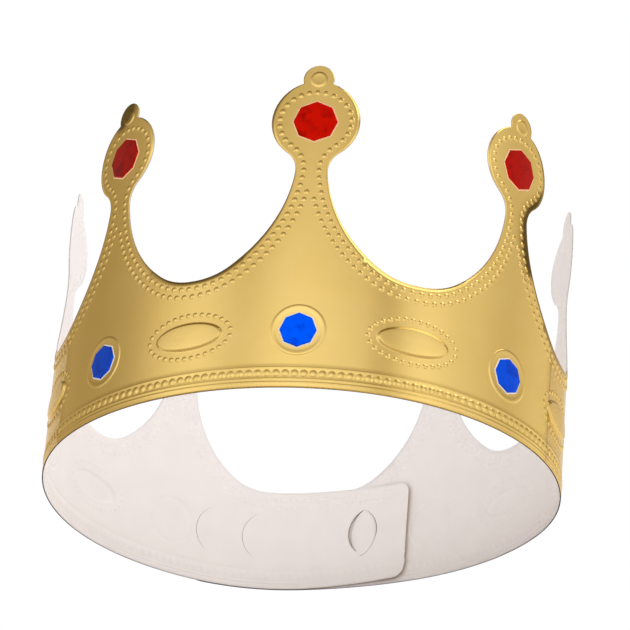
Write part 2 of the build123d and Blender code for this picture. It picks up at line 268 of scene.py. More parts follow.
# Gathers grids of (place, height, outward) and turns them into one mesh that lies on the bent card.
class Sheet:
    def __init__(self):
        self.places = []
        self.heights = []
        self.outwards = []
        self.quads = []
        self.triangles = []
        self.count = 0

    # Adds points and returns their numbers in the shape they came in.
    def spots(self, place, height, outward=0.0):
        place, height, outward = np.broadcast_arrays(np.asarray(place, float), height, outward)
        numbers = self.count + np.arange(place.size).reshape(place.shape)
        self.places.append(place.ravel())
        self.heights.append(height.ravel())
        self.outwards.append(outward.ravel())
        self.count += place.size
        return numbers

    # A grid of numbers, first index along the strip and second upwards, to outward-facing quads.
    def weave(self, numbers, keep=None):
        quads = np.stack([numbers[:-1, :-1], numbers[1:, :-1], numbers[1:, 1:], numbers[:-1, 1:]], axis=-1)
        self.quads.append(quads[keep] if keep is not None else quads.reshape(-1, 4))

    # Rings of numbers, each inside the one before.
    def nest(self, rings):
        rings = np.asarray(rings)
        following = np.roll(rings, -1, axis=1)
        quads = np.stack([rings[:-1], following[:-1], following[1:], rings[1:]], axis=-1)
        self.quads.append(quads.reshape(-1, 4))

    # Closes the last ring with a fan round its middle.
    def cap(self, ring, centre):
        following = np.roll(ring, -1)
        self.triangles.append(np.stack([ring, following, np.full_like(ring, centre)], axis=-1))

    # The tilt of the rolled edges is kept as an attribute: the sum of tilt * exp(-distance^2 / (2 size^2)).
    def mesh(self, name, backward=False):
        place, height, outward = [np.concatenate(a) for a in (self.places, self.heights, self.outwards)]
        quads = np.concatenate(self.quads) if self.quads else np.zeros((0, 4), int)
        triangles = np.concatenate(self.triangles) if self.triangles else np.zeros((0, 3), int)
        used = np.unique(np.concatenate([quads.ravel(), triangles.ravel()]))
        renumber = np.zeros(self.count, int)
        renumber[used] = np.arange(len(used))
        if backward:
            quads = quads[:, ::-1]
            triangles = triangles[:, ::-1]
        corners = renumber[np.concatenate([quads.ravel(), triangles.ravel()])]
        sizes = np.concatenate([np.full(len(quads), 4), np.full(len(triangles), 3)])
        place, height, outward = place[used], height[used], outward[used]
        span = band["flatSpan"]
        layout = np.stack([(place + span / 2) / span, leanedHeight(place, height) / span], axis=-1)
        thing = meshObject(name, onCard(place, height, outward), corners, sizes, layout)
        tilts = sum(
            tilt * np.exp(-((place - x) ** 2 + (height - z) ** 2) / (2 * size ** 2))
            for x, z, size, tilt in rolled["spots"]
        )
        thing.data.attributes.new("bend", "FLOAT", "POINT").data.foreach_set("value", tilts.astype(np.float32))
        return thing


# Numpy arrays to an object at the origin, smooth shaded, with the flat layout of the card as its UV map.
def meshObject(name, points, corners, sizes, layout=None):
    mesh = bpy.data.meshes.new(name)
    mesh.vertices.add(len(points))
    mesh.vertices.foreach_set("co", points.astype(np.float32).ravel())
    mesh.loops.add(len(corners))
    mesh.loops.foreach_set("vertex_index", corners.astype(np.int32))
    mesh.polygons.add(len(sizes))
    starts = np.concatenate([[0], np.cumsum(sizes)[:-1]])
    mesh.polygons.foreach_set("loop_start", starts.astype(np.int32))
    mesh.polygons.foreach_set("use_smooth", np.ones(len(sizes), bool))
    if layout is not None:
        uv = mesh.uv_layers.new(name="flatCard")
        uv.data.foreach_set("uv", layout[corners].astype(np.float32).ravel())
    mesh.update(calc_edges=True)
    mesh.validate()
    thing = bpy.data.objects.new(name, mesh)
    bpy.context.scene.collection.objects.link(thing)
    return thing


relief = {
    "ridges": (1.9, 3.2, 7.4),
    "ridgeHalfWidth": 0.42,
    "ridgeRise": 0.11,
    "plainRows": (0.0, 0.7, 4.6, 5.8, 9.2),   # heights of the rows of mesh between the ridges
    "gemLine": 21.5,
    "ringRadii": (7.9, 9.3),
    "ringRise": 0.19,
    "ringWindow": 10.7,       # half the opening that a ring's own mesh fills
    "ovalLength": 13.3,
    "ovalHeight": 5.4,
    "ovalRise": 0.7,
    "ovalSlope": 1.1,
    "ovalWindow": 16.0,
    "columnStep": 2.2,
}

hook = {
    "place": 24.4,
    "height": 18.6,
    "depth": 5.8,
    "window": 8.0,
    "middle": 0.45,           # share of the depth at which the opening's rings of mesh have their middle
    "fit": 0.985,             # share of the opening's height that a tab fills
    "slits": (-36.5, -18.0),
    # widths of the dark ribbons painted as the shadow in each slit and along each opening's edge
    "slitWidth": 0.12,
    "openingLine": 0.26,
}


# Pressed ridges: rise * cos(away / half width * 90 degrees)^2 for each ridge.
def ridgeProfile(height):
    rise = 0.0
    for ridge in relief["ridges"]:
        away = np.clip(np.abs(height - ridge) / relief["ridgeHalfWidth"], 0, 1)
        rise = rise + relief["ridgeRise"] * np.cos(away * np.pi / 2) ** 2
    return rise


# Columns of the strip as (start, end, cells, kind); a window is left open for a ring, an oval or a hook.
def stripSegments():
    flapAt = -halfLoop - hook["place"]
    hookAt = halfLoop - hook["place"]
    window, corner = hook["window"], band["tongueCorner"]
    ring, oval = relief["ringWindow"], relief["ovalWindow"]
    edge = (lastPoint + 0.5) * band["spacing"]
    parts = [
        (-tipPlace, -tipPlace + corner, 6, "tip"),
        (-tipPlace + corner, flapAt - window, 4, "plain"),
        (flapAt - window, flapAt + window, 8, "hook"),
        (flapAt + window, -halfLoop, 8, "plain"),
        (-halfLoop, -edge, 7, "plain"),
    ]
    start = -edge
    for point in range(-lastPoint, lastPoint + 1):
        middle = point * band["spacing"]
        parts.append((start, middle - ring, int(round((middle - ring - start) / relief["columnStep"])), "plain"))
        parts.append((middle - ring, middle + ring, 14, "ring"))
        if point < lastPoint:
            gap = middle + band["spacing"] / 2
            start = gap + oval
            parts.append((middle + ring, gap - oval, 6, "plain"))
            parts.append((gap - oval, start, 18, "oval"))
    parts += [
        (middle + ring, hookAt - window, 5, "plain"),
        (hookAt - window, hookAt + window, 8, "hook"),
        (hookAt + window, edge, 2, "plain"),
        (edge, halfLoop, 7, "plain"),
        (halfLoop, tipPlace - corner, 19, "plain"),
        (tipPlace - corner, tipPlace, 6, "tip"),
    ]
    return parts


# The crescent of a hook, an arc on one side of a straight hinge: depth = sqrt(r^2 - height^2) - (r - deepest),
# with r = (half^2 + deepest^2) / (2 deepest).
def crescentDepth(height):
    half = hook["height"] / 2
    radius = (half ** 2 + hook["depth"] ** 2) / (2 * hook["depth"])
    return np.sqrt(np.maximum(radius ** 2 - height ** 2, 0)) - (radius - hook["depth"])


# How far from the crescent's inner middle its edge lies in each direction, by halving steps.
def crescentReach(turn, side):
    low = np.zeros_like(turn)
    high = np.full_like(turn, 15.0)
    for step in range(40):
        reach = (low + high) / 2
        x = side * reach * np.cos(turn) + hook["depth"] * hook["middle"]
        z = reach * np.sin(turn)
        inside = (x > 0) & (x < crescentDepth(z)) & (np.abs(z) < hook["height"] / 2)
        low = np.where(inside, reach, low)
        high = np.where(inside, high, reach)
    return low


# Distance to an ellipse in a direction: 1 / sqrt((cos / half length)^2 + (sin / half height)^2).
def ellipseReach(turn, halfLength, halfHeight):
    return 1 / np.sqrt((np.cos(turn) / halfLength) ** 2 + (np.sin(turn) / halfHeight) ** 2)


# An S-shaped step: x^2 * (3 - 2 x).
def smoothStep(x):
    x = np.clip(x, 0, 1)
    return x * x * (3 - 2 * x)


# Rings of mesh from a window's border inwards, each at middle + reach * (cos turn, sin turn) with its own rise.
# A ring has a rounded crest, an oval a plate on a sloped rim that swells to the middle, and a hook stays open.
def fillWindow(sheet, ring, kind, middle, side):
    place = np.concatenate(sheet.places)[ring]
    height = np.concatenate(sheet.heights)[ring]
    line = relief["gemLine"]
    if kind == "hook":
        middle = middle + side * hook["depth"] * hook["middle"]
    turn = np.arctan2(height - line, place - middle)
    edge = np.hypot(place - middle, height - line)
    rings = [ring]
    if kind == "hook":
        reach = crescentReach(turn, side)
        for part in (0.35, 0.7, 1.0):
            r = edge + (reach - edge) * part
            rings.append(sheet.spots(middle + r * np.cos(turn), line + r * np.sin(turn)))
        sheet.nest(rings)
        return
    if kind == "ring":
        inner, outer = relief["ringRadii"]
        crest = relief["ringRise"]
        levels = [
            (outer + 0.5, 0.0), (outer + 0.38, 0.0), (outer + 0.15, 0.55 * crest), (outer - 0.05, 0.92 * crest),
            (outer - 0.35, crest), (inner + 0.6, 0.92 * crest), (inner + 0.2, 0.55 * crest),
            (inner - 0.2, 0.2 * crest), (inner - 0.6, 0.05 * crest), (5.6, 0.0), (3.0, 0.0),
        ]
        shapes = [(np.full_like(turn, r), rise) for r, rise in levels]
    else:
        length, tall = relief["ovalLength"], relief["ovalHeight"]
        slope, top = relief["ovalSlope"], relief["ovalRise"]
        shapes = []
        for step in (-0.25, 0.0, 0.2, 0.4, 0.6, 0.8, 1.0, 1.25):
            rise = top * smoothStep(step) + 0.02 * top * (step > 1)
            inward = slope * step
            shapes.append((ellipseReach(turn, length - inward, tall - inward), rise))
        for part in (0.8, 0.55, 0.3):
            inward = slope * 1.25
            reach = part * ellipseReach(turn, length - inward, tall - inward)
            shapes.append((reach, top * (1.02 + 0.10 * (1 - part ** 2))))
    first = shapes[0][0]
    rings.append(sheet.spots(middle + (edge + first) / 2 * np.cos(turn), line + (edge + first) / 2 * np.sin(turn)))
    for reach, rise in shapes:
        rings.append(sheet.spots(middle + reach * np.cos(turn), line + reach * np.sin(turn), rise))
    sheet.nest(rings)
    centre = sheet.spots(np.array([middle]), np.array([line]), shapes[-1][1])
    sheet.cap(rings[-1], centre[0])


# The whole strip: a grid with open windows, the windows' own rings, and a block of rows above each point.
# In a block, place and height run evenly from the left edge to the right: left + share * (right - left).
def weaveStrip():
    sheet = Sheet()
    parts = stripSegments()
    columns = [np.array([parts[0][0]])]
    windows = []
    count = 1
    for start, end, cells, kind in parts:
        steps = np.linspace(0, 1, cells + 1)[1:]
        if kind == "tip":
            steps = np.sin(steps * np.pi / 2) if start > 0 else 1 - np.cos(steps * np.pi / 2)
        columns.append(start + (end - start) * steps)
        if kind in ("ring", "oval", "hook"):
            windows.append((count - 1, count - 1 + cells, kind, (start + end) / 2))
        count += cells
    places = np.concatenate(columns)
    windowLow, windowHigh = relief["gemLine"] - relief["ringWindow"], relief["gemLine"] + relief["ringWindow"]
    half = relief["ridgeHalfWidth"]
    rows = list(relief["plainRows"]) + [windowLow]
    for ridge in relief["ridges"]:
        rows += [ridge - half, ridge - half / 2, ridge, ridge + half / 2, ridge + half]
    rows = np.unique(np.round(rows, 3))
    low = len(rows) - 1
    rows = np.concatenate([rows, np.linspace(windowLow, windowHigh, 15)[1:]])
    high = len(rows) - 1
    base = sheet.spots(places[:, None], rows[None, :], ridgeProfile(rows)[None, :])
    tops = np.full(len(places), band["tongueHeight"])
    blocks = []
    for point in range(-lastPoint, lastPoint + 1):
        first = np.argmin(np.abs(places - (point - 0.5) * band["spacing"]))
        last = np.argmin(np.abs(places - (point + 0.5) * band["spacing"]))
        left, right = pointEdge(point, -1), pointEdge(point, 1)
        risingLeft = np.interp(places[first:last + 1], left[0], left[1])
        risingRight = np.interp(-places[first:last + 1], -right[0], right[1])
        begin = first + np.argmax(risingLeft >= outline["columnTop"])
        end = last - np.argmax(risingRight[::-1] >= outline["columnTop"])
        tops[first:begin + 1] = risingLeft[:begin + 1 - first]
        tops[end:last + 1] = risingRight[end - first:]
        tops[begin:end + 1] = np.interp(places[begin:end + 1], places[[begin, end]], tops[[begin, end]])
        blocks.append((begin, end, left, right))
    climb = np.linspace(0, 1, 7)[1:]
    upper = sheet.spots(places[:, None], windowHigh + climb[None, :] * (tops[:, None] - windowHigh))
    grid = np.concatenate([base, upper], axis=1)
    keep = np.ones((grid.shape[0] - 1, grid.shape[1] - 1), bool)
    for start, end, kind, middle in windows:
        keep[start:end, low:high] = False
    sheet.weave(grid, keep)
    for start, end, kind, middle in windows:
        loop = np.concatenate([
            grid[start:end, low], grid[end, low:high], grid[start + 1:end + 1, high][::-1],
            grid[start, low + 1:high + 1][::-1],
        ])
        fillWindow(sheet, loop, kind, middle, 1 if middle < 0 else -1)

    for begin, end, left, right in blocks:
        share = (places[begin:end + 1] - places[begin]) / (places[end] - places[begin])
        edges = []
        for (lowPlace, lowHeight, highPlace, highHeight), corner in ((left, begin), (right, end)):
            rest = lowHeight > tops[corner] + 1e-6
            x = np.concatenate([[places[corner]], lowPlace[rest]])
            z = np.concatenate([[tops[corner]], lowHeight[rest]])
            run = np.concatenate([[0], np.cumsum(np.hypot(np.diff(x), np.diff(z)))])
            marks = np.linspace(0, run[-1], outline["flankRows"] + 1)[1:]
            edges.append((
                np.concatenate([np.interp(marks, run, x), highPlace]),
                np.concatenate([np.interp(marks, run, z), highHeight]),
            ))
        (leftPlace, leftHeight), (rightPlace, rightHeight) = edges
        place = leftPlace[None, :] + share[:, None] * (rightPlace - leftPlace)[None, :]
        height = leftHeight[None, :] + share[:, None] * (rightHeight - leftHeight)[None, :]
        block = sheet.spots(place, height)
        sheet.weave(np.concatenate([grid[begin:end + 1, -1:], block], axis=1))

    # the two hook tabs: a lens-shaped plate that rises through the opening and lies behind the other layer
    for root, behind, side in (
        (-halfLoop - hook["place"], 2 * band["layerStep"] - 0.2, 1),
        (halfLoop - hook["place"], -2 * band["layerStep"] + 0.1, -1),
    ):
        z = np.sin(np.linspace(-1, 1, 21) * np.pi / 2) * hook["height"] / 2 * hook["fit"]
        depth = crescentDepth(z)
        share = np.concatenate([np.linspace(-0.9, 0, 9), np.linspace(0, 1, 6)[1:]])
        x = share[:, None] * depth[None, :]
        rise = behind * smoothStep(1 + x / (0.9 * hook["depth"]))
        plate = sheet.spots(root + side * x, relief["gemLine"] + z, rise)
        sheet.weave(plate if side > 0 else plate[::-1])
    return sheet


dots = {
    "edgeOffset": 2.95,
    "headSquash": 0.87,     # the row over a gem runs lower than the head's edge
    "rowGap": 3.0,
    "pitch": 3.0,
    "radius": 1.12,
    "rise": 0.30,
    "riseInside": 0.26,
    "foot": 0.02,           # a dome's foot is sunk this far into the card
    "borderHeight": 5.3,
    "borderPitch": 3.19,
    "borderRadius": 1.5,
    "tipMargin": 3.5,
    "ovalLength": 16.2,
    "ovalHeight": 8.2,
    "ovalCount": 29,
    "ovalRadius": 1.0,
    "innerRowTops": (76.4, 73.0),   # the left row crosses over the right one at the neck
}


# Evenly spaced spots along an offset of a point's edge. Distances add up radius * turn over the arcs.
def edgeRow(point, side, offset, shift, highest):
    arcs, toPlace, lowest = pointSide(point, side)
    gapMiddle = arcs[0][0][0] + outline["scallopFlat"]
    pieces = [[(gapMiddle, lowest - offset)]]
    for number, (centre, radius, start, end, away) in enumerate(arcs[:4]):
        r = radius + away * offset
        if number == 3:
            end = np.pi / 2
        turn = np.linspace(start, end, 200)
        rise = r * np.sin(turn)
        if number == 3:
            rise = np.where(turn > 0, rise * dots["headSquash"], rise)
        pieces.append(np.stack([centre[0] + r * np.cos(turn), centre[1] + rise], axis=-1))
    path = np.concatenate(pieces)
    path = path[path[:, 0] > -0.3]
    steps = np.hypot(*np.diff(path, axis=0).T)
    run = np.concatenate([[0], np.cumsum(steps)])
    if highest is None:
        count = int(round(run[-1] / dots["pitch"] - 0.5))
        pitch = run[-1] / (count + 0.5)
        count += side > 0
    else:
        run = run[: np.argmax(path[:, 1] > highest)]
        path = path[: len(run)]
        pitch = dots["pitch"]
        count = int((run[-1] - shift * pitch) / pitch) + 1
    marks = (np.arange(count) + shift) * pitch
    return toPlace(np.interp(marks, run, path[:, 0])), np.interp(marks, run, path[:, 1])


# Two rows along every edge, the border row along the bottom, and a row round each oval at
# (length * cos turn, height * sin turn), spaced evenly by distance.
def allDots():
    places, heights, radii = [], [], []

    def note(place, height, radius):
        places.append(place)
        heights.append(height)
        radii.append(np.full(len(place), radius))

    inner = dots["edgeOffset"] + dots["rowGap"]
    for point in range(-lastPoint, lastPoint + 1):
        for side in (-1, 1):
            place, height = edgeRow(point, side, dots["edgeOffset"], 0.5, None)
            note(place, height, dots["radius"])
            place, height = edgeRow(point, side, inner, 0.0 if side > 0 else 1.0, dots["innerRowTops"][side > 0])
            note(place, height, dots["radius"])
    reach = (lastPoint + 0.5) * band["spacing"]
    for side in (-1, 1):
        for offset, shift in ((dots["edgeOffset"], 0.5), (inner, 0.0)):
            count = int((tipPlace - reach - dots["tipMargin"]) / dots["pitch"])
            place = reach + (np.arange(count) + shift) * dots["pitch"]
            note(side * place, np.full(count, band["tongueHeight"] - offset), dots["radius"])
    count = int(2 * (tipPlace - dots["tipMargin"]) / dots["borderPitch"])
    place = (np.arange(count) - (count - 1) / 2) * dots["borderPitch"]
    note(place, np.full(count, dots["borderHeight"]), dots["borderRadius"])
    fine = np.linspace(0, 2 * np.pi, 721)
    path = np.stack([dots["ovalLength"] * np.cos(fine), dots["ovalHeight"] * np.sin(fine)], axis=-1)
    run = np.concatenate([[0], np.cumsum(np.hypot(*np.diff(path, axis=0).T))])
    marks = (np.arange(dots["ovalCount"]) + 0.5) / dots["ovalCount"] * run[-1]
    x, z = np.interp(marks, run, path[:, 0]), np.interp(marks, run, path[:, 1])
    for gap in range(-lastPoint, lastPoint):
        middle = (gap + 0.5) * band["spacing"]
        note(middle + x, relief["gemLine"] + z, dots["ovalRadius"])
    return np.concatenate(places), np.concatenate(heights), np.concatenate(radii)


# Domes on a face of the card: rise * (1 - r^2) at the share r of the way from the middle to the foot.
def domes(name, place, height, radius, rise, sides, levels, face=0.0, outside=True):
    sheet = Sheet()
    turn = np.arange(sides) * 2 * np.pi / sides
    shares = np.array(levels)
    lift = rise * (1 - shares ** 2) - dots["foot"]
    sign = 1 if outside else -1
    size = np.minimum(radius / dots["radius"], 1.0)
    reach = radius[:, None, None] * shares[None, :, None]
    rings = sheet.spots(
        place[:, None, None] + reach * np.cos(turn), height[:, None, None] + reach * np.sin(turn),
        face + sign * (lift * size[:, None])[:, :, None] * np.ones(sides),
    )
    tops = sheet.spots(place, height, face + sign * (rise - dots["foot"]) * size)
    following = np.roll(rings, -1, axis=2)
    quads = np.stack([rings[:, :-1], following[:, :-1], following[:, 1:], rings[:, 1:]], axis=-1)
    sheet.quads.append(quads.reshape(-1, 4))
    last = rings[:, -1]
    fan = np.stack([last, np.roll(last, -1, axis=1), np.broadcast_to(tops[:, None], last.shape)], axis=-1)
    sheet.triangles.append(fan.reshape(-1, 3))
    return sheet.mesh(name, backward=not outside)


button = {
    "radius": 2.9,
    "rise": 0.24,
    "sides": 36,
    "foot": (1.12, -0.02),   # share of the radius, and how far it is sunk into the card
    # shares of the radius and of the rise, from the rounded edge to the slightly sunk middle
    "profile": ((1.04, 0.12), (0.95, 0.6), (0.86, 0.95), (0.76, 1.0), (0.64, 0.88), (0.5, 0.72), (0.3, 0.66)),
}


# Round buttons on the finials: a profile turned round the middle, radius * share * (cos turn, sin turn).
def buttons():
    sheet = Sheet()
    turn = np.arange(button["sides"]) * 2 * np.pi / button["sides"]
    profile = [button["foot"]] + [(r, part * button["rise"]) for r, part in button["profile"]]
    height = outline["headHeight"] + outline["finialRise"]
    for point in range(-lastPoint, lastPoint + 1):
        middle = point * band["spacing"]
        rings = [
            sheet.spots(
                middle + button["radius"] * r * np.cos(turn), height + button["radius"] * r * np.sin(turn), lift
            )
            for r, lift in profile
        ]
        sheet.nest(rings)
        centre = sheet.spots(np.array([middle]), np.array([height]), profile[-1][1])
        sheet.cap(rings[-1], centre[0])
    return sheet.mesh("finial_buttons")


rims = {
    "lift": 0.09,
    "steps": (0.5, 0.42, 0.1, -0.3),   # distance past the gem's corners of each ring, the first on the card
    "redRadius": 7.8,
    "redDrop": 0.5,                    # the red gems sit this far below the middles of the heads
    "blueRadius": 6.4,
}


# Pale rim round each gem, a painted glow: an eight-sided band between rings, corner * (1 - share) + next * share.
def gemRims(name, radius, height):
    sheet = Sheet()
    corners = np.arange(8) * np.pi / 4
    share = np.linspace(0, 1, 7)[:-1]
    for point in range(-lastPoint, lastPoint + 1):
        middle = point * band["spacing"]
        rings = []
        for number, step in enumerate(rims["steps"]):
            x = (radius + step) * np.cos(corners)
            z = (radius + step) * np.sin(corners)
            x = (x[:, None] * (1 - share) + np.roll(x, -1)[:, None] * share).ravel()
            z = (z[:, None] * (1 - share) + np.roll(z, -1)[:, None] * share).ravel()
            rings.append(sheet.spots(middle + x, height + z, rims["lift"] if number else 0.0))
        sheet.nest(rings)
    return sheet.mesh(name)


# Painted shadow of the cuts on the inside: a dark ribbon along each crescent's arc, width * sqrt(1 - (height /
# half)^4) wide.
def paintedCutShadows():
    sheet = Sheet()
    half = hook["height"] / 2 * hook["fit"]
    z = np.sin(np.linspace(-1, 1, 25) * np.pi / 2) * half
    cuts = [(place, 1, hook["slitWidth"]) for place in hook["slits"]]
    cuts += [(hook["place"], 1, hook["openingLine"]), (hook["place"], -1, hook["openingLine"])]
    for place, side, width in cuts:
        depth = crescentDepth(z)
        taper = width * np.sqrt(np.clip(1 - (z / half) ** 4, 0.02, 1))
        x = np.stack([depth - taper * 0.5, depth + taper], axis=0)
        z2 = relief["gemLine"] + np.stack([z, z])
        grid = sheet.spots(-halfLoop - place + side * x, z2, -band["thickness"] - 0.03)
        sheet.weave(grid[::-1] if side > 0 else grid)
    return sheet.mesh("painted_cut_shadows")


# An sRGB hex colour to linear.
def linear(code):
    channels = [int(code[i:i + 2], 16) / 255 for i in (1, 3, 5)]
    return tuple(c / 12.92 if c <= 0.04045 else ((c + 0.055) / 1.055) ** 2.4 for c in channels) + (1.0,)


# Adds a node. A link's value is a plain value, a socket, or a node whose first output is meant.
def addNode(tree, kind, links=None, **settings):
    node = tree.nodes.new(kind)
    for key, value in settings.items():
        setattr(node, key, value)
    for socket, value in (links or {}).items():
        if isinstance(value, bpy.types.Node):
            value = value.outputs[0]
        if isinstance(value, bpy.types.NodeSocket):
            tree.links.new(value, node.inputs[socket])
        else:
            node.inputs[socket].default_value = value
    return node


def newMaterial(name):
    material = bpy.data.materials.new(name)
    material.use_nodes = True
    tree = material.node_tree
    tree.nodes.clear()
    return material, tree


foil = {
    "colour": "#E6C67A",
    "deep": "#E1BF6C",
    "grazing": "#F5E8D0",
    "roughness": 0.24,
    "roughnessSpread": 0.04,
    "grain": 0.35,          # mm, the fine satin of the rolled foil
    "grainDepth": 0.03,
    "grainStrength": 0.10,
    "waves": 14.0,          # mm, slow unevenness of the card under the foil
    "waveDepth": 0.6,
    "waveStrength": 0.10,
    "bow": 0.10,            # slope that the card gains inward over every 100 mm of height at the front point,
    "bowSides": -0.35,      # and this share of it beyond the neighbouring gaps
    "bowFoot": 20.0,
    "bowReach": (12, 70),
    "creases": (-109.5, 107.5),   # packing folds
    "creaseRise": 0.9,
    "creaseWidth": 3.0,
    "wander": 1.4,          # how far a crease strays from a straight line
    "wrinkleScale": 260.0,  # per metre, so a wrinkle is about 4 mm long
    "wrinkles": 0.30,       # mm, in the crumpled foil beyond the folds
    # distances from the front point at which the crumpling starts and ends: from, to, and its share at each
    "crumpled": ((104, 113, 0, 1), (124, 136, 1, 0)),
}


# Gold foil laminated on card: a metal film that copies the card's slight waves, satin from rolling.
# The eye sees soft reflections that break at the packing creases.
def foilMaterial():
    material, tree = newMaterial("laminatedGoldFoil")
    spot = addNode(tree, "ShaderNodeTexCoord").outputs["Object"]
    slow = addNode(tree, "ShaderNodeTexNoise", {"Vector": spot, "Scale": 1000 / foil["waves"], "Detail": 2.0})
    fine = addNode(tree, "ShaderNodeTexNoise", {"Vector": spot, "Scale": 1000 / foil["grain"], "Detail": 3.0})
    wrinkle = addNode(tree, "ShaderNodeTexNoise", {
        "Vector": spot, "Scale": foil["wrinkleScale"], "Detail": 4.0, "Distortion": 1.5,
    })
    tone = addNode(tree, "ShaderNodeMix", {
        "Factor": slow.outputs["Fac"], "A": linear(foil["colour"]), "B": linear(foil["deep"]),
    }, data_type="RGBA")
    flat = addNode(tree, "ShaderNodeUVMap", uv_map="flatCard")
    flat = addNode(tree, "ShaderNodeSeparateXYZ", {"Vector": flat})
    span = band["flatSpan"]
    place = addNode(tree, "ShaderNodeMath", {0: flat.outputs["X"], 1: span, 2: -span / 2}, operation="MULTIPLY_ADD")
    height = addNode(tree, "ShaderNodeMath", {0: flat.outputs["Y"], 1: span}, operation="MULTIPLY")
    beside = addNode(tree, "ShaderNodeMath", {0: place}, operation="ABSOLUTE")

    # the card bows in with height: lean = slope * (z - 20) / 100, and leans more where an edge is rolled back
    start, end = foil["bowReach"]
    slope = addNode(tree, "ShaderNodeMapRange", {
        "Value": beside, "From Min": start, "From Max": end,
        "To Min": foil["bow"] / 100, "To Max": foil["bow"] * foil["bowSides"] / 100,
    }, interpolation_type="SMOOTHERSTEP")
    above = addNode(tree, "ShaderNodeMath", {0: height, 1: foil["bowFoot"]}, operation="SUBTRACT")
    above = addNode(tree, "ShaderNodeMath", {0: above, 1: 0.0}, operation="MAXIMUM")
    edge = addNode(tree, "ShaderNodeAttribute", attribute_name="bend").outputs["Fac"]
    lean = addNode(tree, "ShaderNodeMath", {0: above, 1: slope, 2: edge}, operation="MULTIPLY_ADD")
    lean = addNode(tree, "ShaderNodeCombineXYZ", {"Z": lean})
    normal = addNode(tree, "ShaderNodeNewGeometry").outputs["Normal"]
    normal = addNode(tree, "ShaderNodeVectorMath", {0: normal, 1: lean}, operation="ADD")
    normal = addNode(tree, "ShaderNodeVectorMath", {0: normal}, operation="NORMALIZE")

    # each fold is a ridge, rise * exp(-distance / width), and the foil beyond it is crumpled
    crumpled = wrinkle
    for start, end, low, high in foil["crumpled"]:
        part = addNode(tree, "ShaderNodeMapRange", {
            "Value": beside, "From Min": start, "From Max": end, "To Min": low, "To Max": high,
        }, interpolation_type="SMOOTHERSTEP")
        crumpled = addNode(tree, "ShaderNodeMath", {0: crumpled, 1: part}, operation="MULTIPLY")
    fold = addNode(tree, "ShaderNodeMath", {0: crumpled, 1: foil["wrinkles"] / 1000}, operation="MULTIPLY")
    for crease in foil["creases"]:
        away = addNode(tree, "ShaderNodeMath", {0: place, 1: crease + foil["wander"] / 2}, operation="SUBTRACT")
        away = addNode(tree, "ShaderNodeMath", {0: wrinkle, 1: foil["wander"], 2: away}, operation="MULTIPLY_ADD")
        away = addNode(tree, "ShaderNodeMath", {0: away}, operation="ABSOLUTE")
        away = addNode(tree, "ShaderNodeMath", {0: away, 1: -foil["creaseWidth"]}, operation="DIVIDE")
        away = addNode(tree, "ShaderNodeMath", {0: away}, operation="EXPONENT")
        fold = addNode(tree, "ShaderNodeMath", {
            0: away, 1: foil["creaseRise"] / 1000, 2: fold,
        }, operation="MULTIPLY_ADD")

    for strength, distance, rise in (
        (foil["waveStrength"], foil["waveDepth"] / 1000, slow),
        (1.0, 1.0, fold),
        (foil["grainStrength"], foil["grainDepth"] / 1000, fine),
    ):
        normal = addNode(tree, "ShaderNodeBump", {
            "Strength": strength, "Distance": distance, "Height": rise, "Normal": normal,
        })
    dull = addNode(tree, "ShaderNodeMapRange", {
        "Value": fine, "To Min": foil["roughness"] - foil["roughnessSpread"],
        "To Max": foil["roughness"] + foil["roughnessSpread"],
    })
    shader = addNode(tree, "ShaderNodeBsdfPrincipled", {
        "Base Color": tone.outputs["Result"], "Metallic": 1.0, "Roughness": dull,
        "Specular Tint": linear(foil["grazing"]), "Normal": normal,
    })
    addNode(tree, "ShaderNodeOutputMaterial", {"Surface": shader})
    return material


# colour, shade of the mottle, and tooth of the pulp in mm
cards = {
    "uncoatedWhiteCard": ("#F9F5F3", "#F3EDEB", 0.5),      # the band's bare inner side
    "cutCardEdge": ("#D8CFC6", "#BFB4A8", 0.3),            # die-cut fibres, a little darker than the face
    # painted shadow: this dark card colour stands in for the shade inside a knife cut
    "paintedShadowInCardSlit": ("#A79C95", "#8F857E", 0.3),         # fibres seen in the shadow of a knife cut
    # painted glow: the rims' pale colours stand in for light round the gems, peach round the red ones
    "paintedGlowRimOfRed": ("#FFD2A6", "#F7C295", 0.4),      # a narrow rim left without tint, glowing from the gem
    "paintedGlowRimOfBlue": ("#FFF6EC", "#F3E8DC", 0.4),
}


# Uncoated card: matte pulp with a faint warm mottle and a fine tooth.
def cardMaterial(name):
    colour, shade, tooth = cards[name]
    material, tree = newMaterial(name)
    spot = addNode(tree, "ShaderNodeTexCoord").outputs["Object"]
    mottle = addNode(tree, "ShaderNodeTexNoise", {"Vector": spot, "Scale": 1000 / 9.0, "Detail": 4.0})
    pulp = addNode(tree, "ShaderNodeTexNoise", {"Vector": spot, "Scale": 1000 / tooth, "Detail": 3.0})
    tone = addNode(tree, "ShaderNodeMix", {
        "Factor": mottle, "A": linear(colour), "B": linear(shade),
    }, data_type="RGBA")
    bump = addNode(tree, "ShaderNodeBump", {"Strength": 0.15, "Distance": 0.00005, "Height": pulp})
    shader = addNode(tree, "ShaderNodeBsdfPrincipled", {
        "Base Color": tone.outputs["Result"], "Roughness": 0.75, "IOR": 1.5, "Normal": bump,
    })
    addNode(tree, "ShaderNodeOutputMaterial", {"Surface": shader})
    return material


gems = {
    "redTintedFoil": ("#C31104", "#9C0B05"),
    "blueTintedFoil": ("#0056F2", "#0046D8"),
    "roughness": 0.32,
    "cloud": 5.0,              # mm, size of the darker patches
    "cloudEdge": (0.45, 0.72),
    "cloudDepth": 0.3,
}


